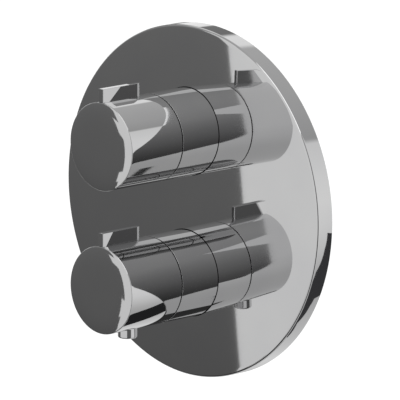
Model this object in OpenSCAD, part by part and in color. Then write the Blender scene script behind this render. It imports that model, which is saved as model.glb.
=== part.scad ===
// Thermostatic shower valve with two turning handles on one round wall plate.
// The origin is the plate's centre on the finished wall. +Y points into the wall, +Z up, +X to the right.
// The upper handle turns the water on and chooses the outlet. The lower handle sets the temperature.

/* [Wall plate] */
// Diameter of the round wall plate
plate_d = 190; // [176:1:220]
// Depth of the plate from the wall to its front edge
rim_depth = 11; // [9:0.5:14]
// Thickness of the plate's metal
plate_wall = 1.5; // [1:0.1:2]
// Height of the plate's shallow crown in front of its edge
plate_crown = 2; // [1:0.1:3]
// How far the crown's curve is moved out towards the rim, 0 for an even curve
crown_edge_share = 1.6; // [0:0.1:2]
// Rounding of the plate's front edge
plate_edge_r = 1.2; // [0.6:0.1:2]
// Width of the foam gasket inside the rim
gasket_w = 4; // [2:0.5:6]
// Thickness of the foam gasket
gasket_t = 2; // [1:0.5:3]

/* [Barrels] */
// Outer diameter of both sleeves and both handles
barrel_d = 47; // [46:0.5:52]
// Distance between the two barrel axes
axis_gap = 77; // [72:1:84]
// Length of each fixed sleeve in front of the plate's edge
sleeve_show = 28; // [24:0.5:36]
// Wall of each fixed sleeve
sleeve_wall = 2; // [1.5:0.1:2.4]
// Depth to which each sleeve reaches behind the wall
sleeve_back = 5; // [3:0.5:5]
// Width of the dark joint between sleeve and handle
joint_gap = 0.8; // [0.5:0.1:1.5]

/* [Handles] */
// Length of each handle
handle_len = 36.7; // [32:0.1:44]
// Height of the slight crown on each handle's front face
cap_crown = 0.7; // [0.3:0.1:1.2]
// Thickness of each handle's front face
cap_t = 3; // [2:0.5:4]
// Wall of each handle
handle_wall = 4.1; // [3:0.1:4.5]
// Rounding of each handle's front edge
cap_edge_r = 0.5; // [0.3:0.1:1]
// Length of the spigot that turns inside the sleeve
spigot_len = 3; // [2:0.5:4]
// Distance from the handle's rear edge to its hub
hub_setback = 4.2; // [3.5:0.1:6]
// Distance from the handle's front face to its hub, inside
hub_front_gap = 3.5; // [2:0.5:5]

/* [Tabs] */
// Length of each finger tab along the barrel
tab_len = 27; // [20:1:32]
// Height of each tab above the barrel
tab_h = 7.3; // [5:0.1:10]
// Thickness of each tab
tab_t = 3.1; // [2:0.1:5]
// Depth of the slot that holds the tab's foot
tab_foot = 2.4; // [1.5:0.1:2.8]
// Length of the shallow bevel at the tab's rear edge
tab_bevel_len = 2.3; // [1:0.1:4]
// Depth of the shallow bevel at the tab's rear edge
tab_bevel_depth = 0.5; // [0.2:0.1:1]

/* [Safety button] */
// Diameter of the button under the temperature handle
button_d = 10.3; // [8:0.1:11]
// Height of the button outside the barrel
button_h = 4.9; // [4:0.1:7]
// Distance from the handle's front edge to the button's centre
button_setback = 19.5; // [17:0.5:21]
// Rounding of the button's end
button_edge_r = 1; // [0.5:0.1:1.5]
// Travel of the button when it is pressed
button_travel = 2.4; // [2.2:0.1:2.6]
// Thickness of the latch arm under the button
latch_t = 1.2; // [0.8:0.1:1.4]
// Width of the latch arm
latch_w = 4; // [3:0.5:5]

/* [Turning range] */
// Turn of the temperature handle from its safety stop to full cold, in degrees
cold_turn = 150; // [90:5:200]
// Advance of the thermostat's thread for one full turn
thread_lead = 1.6; // [1:0.1:1.8]

/* [Spindles] */
// Diameter of both spindles in their bearings
spindle_d = 12; // [11:0.5:12]
// Diameter of the flatted ends that drive the hubs
drive_d = 10; // [9:0.5:10]
// Depth of each flat on the drive ends
drive_flat = 0.6; // [0.4:0.1:1]
// Diameter of the cartridge necks
neck_d = 24; // [23:0.5:25]
// Distance from a sleeve's front edge back to the cartridge neck
neck_recess = 5; // [4.4:0.1:7]

/* [Valve body] */
// Outer diameter of the casting round the thermostat
thermostat_case_d = 50; // [48:0.5:54]
// Outer diameter of the casting round the flow cartridge
flow_case_d = 46; // [44:0.5:48]
// Depth of the thermostat's casting behind the wall
thermostat_case_back = 56; // [54:0.5:60]
// Depth of the flow cartridge's casting behind the wall
flow_case_back = 47; // [45:0.5:50]
// Distance that the round bosses reach in front of the wall
boss_front = 4; // [3:0.5:5]
// Distance from the wall to the casting's front face
case_front = 6; // [5.5:0.5:8]
// Diameter of the nut's thread in each boss
nut_thread_d = 38; // [36.5:0.5:38.5]
// Depth of the nut's thread behind the wall
nut_seat = 2; // [1:0.5:3]
// Width of the bridge between the two castings
bridge_w = 22; // [20:1:26]
// Diameter of the mixed-water passage
mixed_bore_d = 9; // [7:0.5:9.5]
// Distance between the two fixing holes
fixing_gap = 68; // [60:1:72]
// Diameter of the fixing holes
fixing_hole_d = 5.5; // [4:0.5:6.5]
// Diameter of the fixing ears
fixing_ear_d = 14; // [12:0.5:16]
// Thickness of the fixing ears
fixing_ear_t = 8; // [5:0.5:10]
// Depth of the fixing ears' back faces behind the wall
fixing_back = 44; // [40:1:46]

/* [Ports] */
// Bore of the half-inch pipe threads, at the crests
port_bore_d = 18.6; // [17:0.1:19]
// Depth of the side outlet's thread
side_thread_len = 12; // [10:0.5:13]
// Depth of the top port's thread
top_thread_len = 12; // [10:0.5:13]
// Outer diameter of the inlet ports
inlet_d = 28; // [25:0.5:30]
// Outer diameter of the outlet ports
outlet_d = 25; // [23:0.5:26]
// Distance from the centre line to the mouth of each side port
port_reach = 46; // [46:0.5:50]
// Depth of the inlet ports' axes behind the wall
inlet_y = 28; // [27.8:0.1:28.4]
// Depth of the outlet ports' axes behind the wall
outlet_y = 33; // [32.5:0.1:33.5]

/* [Flow cartridge] */
// Diameter of the flow cartridge
flow_cartridge_d = 29.8; // [29:0.1:30]
// Depth of the flow cartridge's chamber behind the wall
flow_chamber_depth = 32; // [31.5:0.1:32]
// Wall of the flow cartridge round its discs
flow_cartridge_wall = 2.5; // [2:0.1:2.7]
// Thickness of each ceramic disc
disc_t = 4.5; // [4:0.1:4.8]
// Thickness of the seal under the discs
disc_seal_t = 1; // [0.6:0.1:1.4]
// Diameter of the openings in the discs
disc_port_d = 6.6; // [5:0.1:6.8]
// Distance from the axis to the openings in the discs
disc_port_r = 5.5; // [5.2:0.1:5.8]

/* [Thermostat cartridge] */
// Diameter of the thermostat cartridge
thermostat_d = 33.8; // [33:0.1:34]
// Depth of the thermostat's chamber behind the wall
thermostat_chamber_depth = 48; // [47.5:0.1:49]
// Diameter of the shuttle
shuttle_d = 23.9; // [23:0.1:24.2]
// Length of the shuttle
shuttle_len = 10; // [9:0.1:10.4]
// Opening at each end of the shuttle when the handle is at its stop
shuttle_gap = 0.8; // [0.7:0.1:1.2]
// Diameter of the pusher
pusher_d = 19; // [18:0.1:19.4]
// Diameter of the wax element
element_d = 12; // [10:0.5:12]
// Length of the wax element behind its collar
element_len = 15; // [12:0.5:18]

/* [Check valves] */
// Outer diameter of the check valves and filters
check_d = 16; // [15:0.1:16.4]
// Length of each check valve
check_len = 12.7; // [11.5:0.1:12.8]
// Opening travel of each check valve
check_travel = 2.5; // [1.5:0.1:2.5]
// Thickness of the filter discs
filter_t = 0.6; // [0.4:0.1:0.8]

/* [Springs] */
// Wire diameter of the return spring
return_wire_d = 1.1; // [0.8:0.1:1.2]
// Coils of the return spring
return_coils = 5; // [4:1:6]
// Wire diameter of the overload spring
overload_wire_d = 1; // [0.8:0.1:1.1]
// Coils of the overload spring
overload_coils = 3; // [2:1:3]
// Wire diameter of the button spring
button_wire_d = 0.6; // [0.4:0.1:0.7]
// Coils of the button spring
button_coils = 4; // [3:1:4]
// Wire diameter of the check valve springs
check_wire_d = 0.5; // [0.4:0.1:0.6]
// Coils of the check valve springs
check_coils = 4; // [3:1:5]

/* [Fits] */
// Radial clearance of a turning or sliding fit
run_fit = 0.05; // [0.02:0.01:0.1]
// Radial clearance of a fixed slip fit
slip_fit = 0.1; // [0.05:0.01:0.15]
// Gap between curved faces that move past each other
open_gap = 0.3; // [0.25:0.05:0.4]

/* [Hidden] */

// Fineness of large, small and tiny round faces, and how far cuts overrun
fine = 128;
small = 48;
tiny = 16;
overrun = 1;

// Plate
plate_r = plate_d / 2;
edge_y = -rim_depth;
crown_steps = 24;
round_steps = 6;

// Barrels, from the sleeve's front edge forward to the handle's front edge
barrel_r = barrel_d / 2;
axis_z = axis_gap / 2;
sleeve_bore_r = barrel_r - sleeve_wall;
sleeve_front_y = edge_y - sleeve_show;
handle_rear_y = sleeve_front_y - joint_gap;
cap_y = handle_rear_y - handle_len;
handle_bore_r = barrel_r - handle_wall;
spigot_r = sleeve_bore_r - open_gap;
spigot_y = handle_rear_y + spigot_len;
handle_hole_r = barrel_r + slip_fit;
collar_t = 3.2;
collar_depth = 8;
collar_back_y = edge_y + collar_depth;
collar_front_y = edge_y - plate_crown / 2;
seal_r = 1;
seal_groove_w = 2.4;
collar_seal_depth = 4;
collar_seal_y = edge_y + collar_seal_depth;
boss_r = sleeve_bore_r - slip_fit;
boss_seal_r = 0.8;
boss_seal_y = 2.5;

// Hubs and grub screws
hub_r = handle_bore_r - run_fit;
hub_front_y = cap_y + cap_t + hub_front_gap;
hub_rear_y = handle_rear_y - hub_setback;
grub_r = 2;
grub_len = 12;
grub_setback = 3.5;
grub_y = hub_rear_y - grub_setback;
grub_socket_r = 1.1;
grub_socket_depth = 2.5;
flow_grub_angle = 270;
temperature_grub_angle = 225;
hub_hollow_r = 3;
hub_hollow_place = 12.5;
hub_hollow_angles = [0, 60, 120, 180];

// Spindles
spindle_r = spindle_d / 2;
drive_r = drive_d / 2;
drive_tip_setback = 6;
drive_tip_y = hub_front_y + drive_tip_setback;
drive_tip_clear = 2;
neck_r = neck_d / 2;
neck_front_y = sleeve_front_y + neck_recess;
clip_land = 2;
spindle_shoulder_y = neck_front_y - clip_land;
clip_t = 0.8;
clip_y = neck_front_y - clip_t - run_fit;
clip_w = 2;
clip_depth = 0.8;
spindle_seal_r = 0.6;
spindle_groove_w = 1.5;
flow_spindle_seal_places = [-6, -2];
temperature_spindle_seal_places = [-16, -12];

// Tabs
tab_foot_setback = 1.5;
tab_foot_short = 1;

// Safety button, latch and stop ring, as distances from the temperature axis
button_r = button_d / 2;
button_y = cap_y + button_setback;
button_end = barrel_r + button_h;
button_flange_step = 0.85;
button_flange_r = button_r + button_flange_step;
button_flange_top = sqrt(handle_bore_r * handle_bore_r - button_flange_r * button_flange_r) - open_gap;
button_flange_t = 1.4;
latch_top = button_flange_top - button_flange_t;
latch_bottom = latch_top - latch_t;
latch_pad_r = 5;
tooth_h = 1.7;
tooth_len = 3;
tooth_tip = latch_top + tooth_h;
ring_front_gap = 0.5;
tooth_reach = 3.3;
tooth_rear_y = handle_rear_y + tooth_reach;
tooth_front_y = tooth_rear_y - tooth_len;
button_spring_room = 6;
pocket_floor = latch_bottom - button_spring_room;
pocket_r = button_flange_r + open_gap;
ring_flange_t = 2;
ring_flange_y = tooth_rear_y + ring_front_gap;
ring_len = 5;
ring_back_y = ring_flange_y + ring_len;
ring_sleeve_t = 1.1;
lug_step = 0.1;
lug_inner = latch_top + lug_step;
ring_gap = 0.4;
ring_outer = handle_bore_r - ring_gap;
tooth_half_angle = asin(latch_w / 2 / latch_top);
lug_half_angle = 7;
lug_gap_angle = 1.5;
lug_turn = tooth_half_angle + lug_half_angle + lug_gap_angle;
tooth_angle = 270;
lug_angles = [tooth_angle + lug_turn, tooth_angle - cold_turn - lug_turn];

// Nuts
nut_r = nut_thread_d / 2 - run_fit;
nut_hex_gap = 0.9;
nut_hex_r = sleeve_bore_r - nut_hex_gap;
nut_hex_t = 6;
nut_bore_r = neck_r + open_gap;

// Flow cartridge, by depth behind the wall
flow_r = flow_cartridge_d / 2;
flow_chamber_r = flow_r + slip_fit;
flow_cavity_r = flow_r - flow_cartridge_wall;
flow_cavity_y = 10;
seal_land_depth = 1.7;
cartridge_seal_r = 0.8;
flow_seal_y = 6;
disc_seal_y = flow_chamber_depth - disc_seal_t;
fixed_disc_y = disc_seal_y - disc_t;
moving_disc_y = fixed_disc_y - disc_t;
fixed_disc_r = flow_cavity_r - slip_fit;
moving_disc_gap = 0.2;
moving_disc_r = flow_cavity_r - moving_disc_gap;
driver_t = 2.8;
driver_r = 9;
driver_y = moving_disc_y - driver_t;
driver_peg_r = 1.5;
driver_peg_len = 2;
driver_peg_place = 6.25;
driver_peg_angles = [210, 330];
spindle_collar_t = 2;
spindle_collar_r = 9;
spindle_collar_gap = 0.2;
spindle_collar_y = flow_cavity_y + spindle_collar_gap;
flow_window_y = 16;
flow_window_r = 3;
flow_groove_w = 8;
flow_groove_depth = 1.3;
flow_windows = 4;
disc_key_w = 3;
disc_key_h = 1;
disc_seal_r = 10.5;

// Thermostat cartridge, by depth behind the wall
thermostat_r = thermostat_d / 2;
thermostat_chamber_r = thermostat_r + slip_fit;
thermostat_end_gap = 0.2;
thermostat_end_y = thermostat_chamber_depth - thermostat_end_gap;
thermostat_seal_r = 0.8;
thermostat_seal_places = [18, 28, 37];
shuttle_r = shuttle_d / 2;
shuttle_bore_r = shuttle_r + run_fit;
supply_offset = 4.5;
hot_y = inlet_y - supply_offset;
cold_y = inlet_y + supply_offset;
supply_groove_w = 5;
supply_groove_depth = 2;
supply_hole_r = 1.9;
supply_holes = 8;
seat_cover = 0.4;
hot_seat_y = hot_y - supply_hole_r + seat_cover;
shuttle_y = hot_seat_y + shuttle_gap;
shuttle_end_y = shuttle_y + shuttle_len;
cold_seat_y = shuttle_end_y + shuttle_gap;
cold_seat_t = 3.4;
cold_seat_bore_r = 9;
shuttle_ports = 6;
shuttle_port_r = 1.3;
shuttle_port_place = 9.6;
mixed_y = 41;
mixed_window_r = 3;
mixed_groove_w = 5;
mixed_windows = 4;
element_r = element_d / 2;
element_bore_r = element_r + slip_fit;
collar_disc_r = 7.4;
collar_disc_t = 1.4;
element_guide_r = 4;
element_guide_len = 2.3;
element_pin_r = 1.8;
element_pin_len = 4;
element_collar_y = shuttle_y - collar_disc_t - run_fit;
element_pin_y = element_collar_y - element_guide_len - element_pin_len;
flange_r = 9;
flange_t = 3;
flange_y = -8;
pusher_r = pusher_d / 2;
pusher_bore_r = pusher_r + slip_fit;
pusher_travel = thread_lead * cold_turn / 360;
pusher_spare = 3;
pusher_front_y = flange_y + flange_t + pusher_travel + pusher_spare;
cap_show = 1.5;
pusher_end_y = element_pin_y - cap_show;
pusher_cup_r = 7.3;
pusher_cup_depth = 7;
pusher_cup_y = pusher_end_y - pusher_cup_depth;
cap_disc_r = 7.1;
cap_disc_t = 1.9;
thread_r = 5.5;
thread_end_gap = 0.5;
thread_end_y = pusher_cup_y - thread_end_gap;
pusher_key_w = 2;
pusher_key_h = 1;
pusher_key_len = 10;
seat_disc_t = 1.2;
seat_disc_inset = 0.2;
seat_disc_y = thermostat_end_y - seat_disc_t - seat_disc_inset;
seat_bore_r = 5;
seat_ports = 6;
seat_port_r = 1.2;
seat_port_place = 9.8;

// Valve body
thermostat_case_r = thermostat_case_d / 2;
flow_case_r = flow_case_d / 2;
bridge_r = bridge_w / 2;
bridge_step = 2;
bridge_front_y = case_front + bridge_step + bridge_r;
bridge_rear_y = flow_case_back - bridge_r;
mixed_r = mixed_bore_d / 2;
mixed_turn_z = -4;
supply_r = 3.5;
side_bore_back = 4;
side_bore_y = flow_chamber_depth + side_bore_back;
outlet_passage_r = 3;
port_bore_r = port_bore_d / 2;
port_end = port_reach - side_thread_len;
top_port_floor = 1.5;
top_port_end_z = axis_z + flow_chamber_r + top_port_floor;
top_port_z = top_port_end_z + top_thread_len;
check_r = check_d / 2;
check_seat_r = check_r + run_fit;
check_seat_wall = 2.5;
check_seat_end = thermostat_chamber_r + check_seat_wall;
ear_web_h = 10;

// Springs
return_spring_r = 7.6;
overload_spring_r = 6;
button_spring_r = 3.6;
spring_end_gap = 0.05;

// Check valves, as distances from the centre line
check_end_gap = 1.1;
check_inner_x = check_seat_end + check_end_gap;
check_outer_x = check_inner_x + check_len;
filter_x = check_outer_x + slip_fit;
inlet_end = filter_x + filter_t;
filter_hole_r = 0.7;
filter_rings = [[1, 0], [6, 2.4], [12, 4.8]];
spring_spare = 1;
check_wall = 2.4;
check_bore_r = check_r - check_wall;
check_lip_t = 1.7;
check_lip_r = 3.8;
poppet_r = 4.6;
poppet_t = 1.2;
poppet_x = check_outer_x - check_lip_t - spring_end_gap;
stem_r = 1.5;
spider_t = 1.2;
spider_x = poppet_x - poppet_t - check_travel - (check_coils + 1) * check_wire_d - spring_spare - spider_t;
stem_show = 0.4;
stem_end = spider_x - stem_show;
spider_w = 1.6;
check_spring_r = 3.2;

// Round pieces along Y, from one depth to another
module rod(r, from, to, fn = fine) {
  translate([0, from, 0]) rotate([-90, 0, 0]) cylinder(r = r, h = to - from, $fn = fn);
}

module pipe(r, bore, from, to, fn = fine) {
  difference() {
    rod(r, from, to, fn);
    rod(bore, from - overrun, to + overrun, fn);
  }
}

// A round cut along X or Z, from one distance to another
module cross_rod(r, from, to, fn = small) {
  translate([from, 0, 0]) rotate([0, 90, 0]) cylinder(r = r, h = to - from, $fn = fn);
}

module upright_rod(r, from, to, fn = small) {
  translate([0, 0, from]) cylinder(r = r, h = to - from, $fn = fn);
}

// A shape turned about Y, from points of radius and depth
module turned(points) {
  rotate([-90, 0, 0]) rotate_extrude($fn = fine) polygon(points);
}

// A round sealing ring about Y
module seal(place_r, r, y) {
  translate([0, y, 0]) rotate([-90, 0, 0]) rotate_extrude($fn = fine)
    translate([place_r, 0]) circle(r, $fn = small);
}

// A copy at the upper axis (side 1) or the lower one (side -1)
module at_axis(side) {
  translate([0, 0, side * axis_z]) children();
}

// Copies round Y by angle from +X towards +Z
module round_y(angle) {
  rotate([0, -angle, 0]) children();
}

// A block with its middle on the X and Z axes given, from one depth to another
module block(x, z, w, h, from, to) {
  translate([x - w / 2, from, z - h / 2]) cube([w, to - from, h]);
}

// The crown's front face at a distance from the plate's centre
function crown_share(r) = (r / plate_r) * (r / plate_r);
function crown_y(r) = edge_y - plate_crown * (1 - crown_share(r)) * (1 + crown_edge_share * crown_share(r));

// Points round a quarter of a circle, about a centre of radius and depth
function quarter(r, y, edge_r, start) = [for (i = [0 : round_steps])
  let (a = start + 90 * i / round_steps)
  [r + edge_r * cos(a), y + edge_r * sin(a)]];

module plate_shell() {
  crown_end = plate_r - plate_edge_r;
  crown = [for (i = [0 : crown_steps - 1]) let (r = crown_end * i / crown_steps) [r, crown_y(r)]];
  inner_end = plate_r - plate_wall;
  inside = [for (i = [crown_steps : -1 : 0])
    let (r = inner_end * i / crown_steps)
    [r, crown_y(r) + plate_wall]];
  edge = quarter(crown_end, edge_y + plate_edge_r, plate_edge_r, -90);
  turned(concat(crown, edge, [[plate_r, 0], [inner_end, 0]], inside));
}

module face_plate() {
  color("gainsboro") difference() {
    plate_shell();
    for (side = [-1, 1]) at_axis(side) rod(handle_hole_r, edge_y - plate_crown - overrun, overrun);
  }
}

// A guide ring bonded behind the plate's hole, with a groove for the seal that grips the sleeve
module collar(side) {
  color("dimgray") difference() {
    at_axis(side) pipe(handle_hole_r + collar_t, handle_hole_r, collar_front_y, collar_back_y);
    at_axis(side) translate([0, collar_seal_y, 0])
      rod(barrel_r + 2 * seal_r + run_fit, -seal_groove_w / 2, seal_groove_w / 2);
    plate_shell();
  }
}

module upper_collar() {
  collar(1);
}

module lower_collar() {
  collar(-1);
}

module wall_gasket() {
  outer = plate_r - plate_wall;
  color("dimgray") pipe(outer, outer - gasket_w, -gasket_t, 0);
}

module plate_seals() {
  place_r = barrel_r + seal_r + run_fit / 2;
  color("black") for (side = [-1, 1]) at_axis(side) seal(place_r, seal_r, collar_seal_y);
}

module sleeve(side) {
  color("gainsboro") at_axis(side) pipe(barrel_r, sleeve_bore_r, sleeve_front_y, sleeve_back);
}

module upper_sleeve() {
  sleeve(1);
}

module lower_sleeve() {
  sleeve(-1);
}

module sleeve_seals() {
  place_r = sleeve_bore_r - boss_seal_r - run_fit;
  color("black") for (side = [-1, 1]) at_axis(side) seal(place_r, boss_seal_r, boss_seal_y);
}

// The turned handle shell: a crowned face, a rounded front edge and a spigot that runs inside the sleeve
module handle_shell() {
  face_end = barrel_r - cap_edge_r;
  face = [for (i = [0 : round_steps]) let (r = face_end * i / round_steps, s = r / face_end)
    [r, cap_y - cap_crown * (1 - s * s)]];
  edge = quarter(face_end, cap_y + cap_edge_r, cap_edge_r, -90);
  inside_y = cap_y + cap_t;
  turned(concat(face, edge, [
    [barrel_r, handle_rear_y], [spigot_r, handle_rear_y], [spigot_r, spigot_y],
    [handle_bore_r, spigot_y], [handle_bore_r, inside_y], [0, inside_y]
  ]));
}

module tab_slot() {
  foot_top = barrel_r + overrun;
  foot_low = barrel_r - tab_foot - slip_fit;
  block(0, (foot_top + foot_low) / 2, tab_t + 2 * slip_fit, foot_top - foot_low,
    cap_y + tab_foot_setback - slip_fit, cap_y + tab_len - tab_foot_short + slip_fit);
}

module grub_hole(angle, r) {
  round_y(angle) translate([0, grub_y, 0]) cross_rod(r, drive_r - drive_flat, barrel_r + overrun);
}

module handle_with_slot(angle) {
  difference() {
    handle_shell();
    tab_slot();
    grub_hole(angle, grub_r + slip_fit);
  }
}

module flow_handle() {
  color("gainsboro") at_axis(1) handle_with_slot(flow_grub_angle);
}

module temperature_handle() {
  color("gainsboro") at_axis(-1) difference() {
    handle_with_slot(temperature_grub_angle);
    translate([0, button_y, 0]) upright_rod(button_r + slip_fit, -barrel_r - overrun, -pocket_floor);
  }
}

// A flat finger tab: its foot sits in the handle's slot, and its rear edge is bevelled a little on both faces
module tab(side) {
  rear_y = cap_y + tab_len;
  half = tab_t / 2;
  outline = [
    [-half, cap_y], [half, cap_y], [half, rear_y - tab_bevel_len], [half - tab_bevel_depth, rear_y],
    [-half + tab_bevel_depth, rear_y], [-half, rear_y - tab_bevel_len]
  ];
  color("gainsboro") at_axis(side) {
    translate([0, 0, barrel_r]) linear_extrude(tab_h) polygon(outline);
    block(0, barrel_r - tab_foot / 2, tab_t, tab_foot, cap_y + tab_foot_setback, rear_y - tab_foot_short);
  }
}

module flow_tab() {
  tab(1);
}

module temperature_tab() {
  tab(-1);
}

// The two-sided flat drive end of a spindle, or the hole for it
module drive(angle, gap, from, to) {
  intersection() {
    rod(drive_r + gap, from, to, small);
    round_y(angle) block(0, 0, 2 * (drive_r - drive_flat + gap), 2 * drive_r + overrun, from, to);
  }
}

module hub(angle) {
  difference() {
    rod(hub_r, hub_front_y, hub_rear_y);
    drive(angle, run_fit, drive_tip_y - drive_tip_clear, hub_rear_y + overrun);
    grub_hole(angle, grub_r + run_fit);
    for (a = hub_hollow_angles) round_y(a) translate([hub_hollow_place, 0, 0])
      rod(hub_hollow_r, hub_front_y + cap_t, hub_rear_y + overrun, small);
  }
}

module flow_hub() {
  color("ivory") at_axis(1) hub(flow_grub_angle);
}

module temperature_hub() {
  color("ivory") at_axis(-1) difference() {
    hub(temperature_grub_angle);
    translate([0, button_y, 0]) upright_rod(pocket_r, -hub_r - overrun, -pocket_floor);
    arm_low = latch_bottom - button_travel - open_gap;
    block(0, -(arm_low + hub_r + overrun) / 2, latch_w + 2 * open_gap, hub_r + overrun - arm_low,
      button_y, hub_rear_y + overrun);
  }
}

module grub_screw(side, angle) {
  start = drive_r - drive_flat + run_fit;
  color("dimgray") at_axis(side) round_y(angle) translate([0, grub_y, 0]) difference() {
    cross_rod(grub_r, start, start + grub_len);
    translate([start + grub_len - grub_socket_depth, 0, 0]) rotate([0, 90, 0])
      cylinder(r = grub_socket_r, h = grub_socket_depth + overrun, $fn = 6);
  }
}

module flow_grub_screw() {
  grub_screw(1, flow_grub_angle);
}

module temperature_grub_screw() {
  grub_screw(-1, temperature_grub_angle);
}

// The button points down from the temperature handle. Its flange keeps it inside the handle's wall.
module safety_button() {
  stem_end_z = -button_flange_top;
  profile = concat([[0, 0]], quarter(button_r - button_edge_r, button_edge_r, button_edge_r, -90),
    [[button_r, button_end - button_flange_top], [0, button_end - button_flange_top]]);
  color("gainsboro") at_axis(-1) translate([0, button_y, 0]) {
    translate([0, 0, -button_end]) rotate_extrude($fn = small) polygon(profile);
    upright_rod(button_flange_r, stem_end_z, stem_end_z + button_flange_t);
  }
}

// The latch: a pad under the button, an arm towards the wall and a tooth that meets the stop ring's lug
module button_latch() {
  color("silver") at_axis(-1) {
    translate([0, button_y, 0]) upright_rod(latch_pad_r, -latch_top, -latch_bottom);
    block(0, -(latch_top + latch_bottom) / 2, latch_w, latch_t, button_y, tooth_rear_y);
    block(0, -(tooth_tip + latch_top) / 2, latch_w, tooth_h, tooth_front_y, tooth_rear_y);
  }
}

// A lug that stands forward from the stop ring's flange
module stop_lug(angle) {
  intersection() {
    pipe(ring_outer, lug_inner, tooth_front_y, ring_flange_y + ring_flange_t);
    round_y(angle) block((lug_inner + ring_outer) / 2, 0, ring_outer - lug_inner + overrun,
      2 * ring_outer * sin(lug_half_angle), tooth_front_y, ring_flange_y + ring_flange_t);
  }
}

module temperature_stop_ring() {
  color("ivory") at_axis(-1) {
    pipe(neck_r + slip_fit + ring_sleeve_t, neck_r + slip_fit, ring_flange_y, ring_back_y);
    pipe(ring_outer, neck_r + slip_fit, ring_flange_y, ring_flange_y + ring_flange_t);
    for (a = lug_angles) stop_lug(a);
  }
}

// The threaded nut that holds a cartridge down in its boss
module cartridge_nut(side) {
  color("goldenrod") at_axis(side) difference() {
    union() {
      rod(nut_r, -boss_front, nut_seat);
      rod(nut_hex_r, -boss_front - nut_hex_t, -boss_front, 6);
    }
    rod(nut_bore_r, -boss_front - nut_hex_t - overrun, nut_seat + overrun);
  }
}

module flow_cartridge_nut() {
  cartridge_nut(1);
}

module thermostat_nut() {
  cartridge_nut(-1);
}

// Radial holes through a cartridge's wall at one depth
module windows(count, r, y, reach, start = 90) {
  for (i = [0 : count - 1]) round_y(start + 360 * i / count) translate([0, y, 0]) cross_rod(r, 0, reach);
}

// A groove round a cartridge
module groove(outer, depth, middle, width) {
  pipe(outer + overrun, outer - depth, middle - width / 2, middle + width / 2);
}

module flow_cartridge_body() {
  color("goldenrod") at_axis(1) difference() {
    union() {
      rod(neck_r, neck_front_y, nut_seat);
      rod(flow_r, nut_seat, disc_seal_y);
    }
    rod(spindle_r + run_fit, neck_front_y - overrun, flow_cavity_y + overrun);
    rod(flow_cavity_r, flow_cavity_y, disc_seal_y + overrun);
    groove(flow_r, seal_land_depth, flow_seal_y, 2 * cartridge_seal_r + 2 * slip_fit);
    groove(flow_r, flow_groove_depth, flow_window_y, flow_groove_w);
    windows(flow_windows, flow_window_r, flow_window_y, flow_r + overrun);
    block(0, -flow_cavity_r, disc_key_w + 2 * slip_fit, 2 * (disc_key_h + slip_fit),
      fixed_disc_y, disc_seal_y + overrun);
  }
}

module flow_cartridge_seal() {
  place_r = flow_r - seal_land_depth + cartridge_seal_r + run_fit;
  color("black") at_axis(1) seal(place_r, cartridge_seal_r, flow_seal_y);
}

// The grooves for two small rings on a spindle, and the rings
module spindle_grooves(places) {
  for (y = places) groove(spindle_r, 2 * spindle_seal_r + run_fit, y, spindle_groove_w);
}

module spindle_rings(places) {
  color("black") for (y = places) seal(spindle_r - spindle_seal_r - run_fit / 2, spindle_seal_r, y);
}

// The front of both spindles: a journal, a groove for the clip and the flatted drive end
module spindle_front(angle, journal_end) {
  difference() {
    rod(spindle_r, spindle_shoulder_y, journal_end + overrun);
    pipe(spindle_r + overrun, spindle_r - clip_depth, clip_y, clip_y + clip_t);
  }
  drive(angle, 0, drive_tip_y, spindle_shoulder_y + overrun);
}

module spindle_clip(side) {
  color("silver") at_axis(side) difference() {
    pipe(spindle_r + clip_w, spindle_r - clip_depth + run_fit, clip_y, clip_y + clip_t);
    block(0, -spindle_r - clip_w, spindle_r, 2 * clip_w + spindle_r,
      clip_y - overrun, clip_y + clip_t + overrun);
  }
}

module flow_spindle() {
  color("goldenrod") at_axis(1) {
    difference() {
      spindle_front(flow_grub_angle, spindle_collar_y);
      spindle_grooves(flow_spindle_seal_places);
    }
    rod(spindle_collar_r, spindle_collar_y, spindle_collar_y + spindle_collar_t);
    rod(drive_r, spindle_collar_y + overrun, driver_y + overrun);
    rod(driver_r, driver_y, moving_disc_y - run_fit);
    for (a = driver_peg_angles) round_y(a) translate([driver_peg_place, 0, 0])
      rod(driver_peg_r, driver_y + overrun, moving_disc_y + driver_peg_len, small);
  }
}

module flow_spindle_seals() {
  at_axis(1) spindle_rings(flow_spindle_seal_places);
}

module flow_spindle_clip() {
  spindle_clip(1);
}

// At rest its one opening stands between the fixed disc's two, so both outlets are shut
module flow_moving_disc() {
  color("white") at_axis(1) difference() {
    rod(moving_disc_r, moving_disc_y, fixed_disc_y);
    translate([0, 0, disc_port_r])
      rod(disc_port_d / 2, moving_disc_y - overrun, fixed_disc_y + overrun, small);
    for (a = driver_peg_angles) round_y(a) translate([driver_peg_place, 0, 0])
      rod(driver_peg_r + run_fit, moving_disc_y - overrun, moving_disc_y + driver_peg_len + slip_fit, small);
  }
}

// The two outlet openings, at the left and at the right of the axis
module disc_ports(from, to) {
  for (x = [-disc_port_r, disc_port_r]) translate([x, 0, 0]) rod(disc_port_d / 2, from, to, small);
}

module flow_fixed_disc() {
  color("white") at_axis(1) difference() {
    union() {
      rod(fixed_disc_r, fixed_disc_y, disc_seal_y);
      block(0, -fixed_disc_r, disc_key_w, 2 * disc_key_h, fixed_disc_y, disc_seal_y);
    }
    disc_ports(fixed_disc_y - overrun, disc_seal_y + overrun);
  }
}

module flow_disc_seal() {
  color("black") at_axis(1) difference() {
    rod(disc_seal_r, disc_seal_y, flow_chamber_depth);
    disc_ports(disc_seal_y - overrun, flow_chamber_depth + overrun);
  }
}

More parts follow.
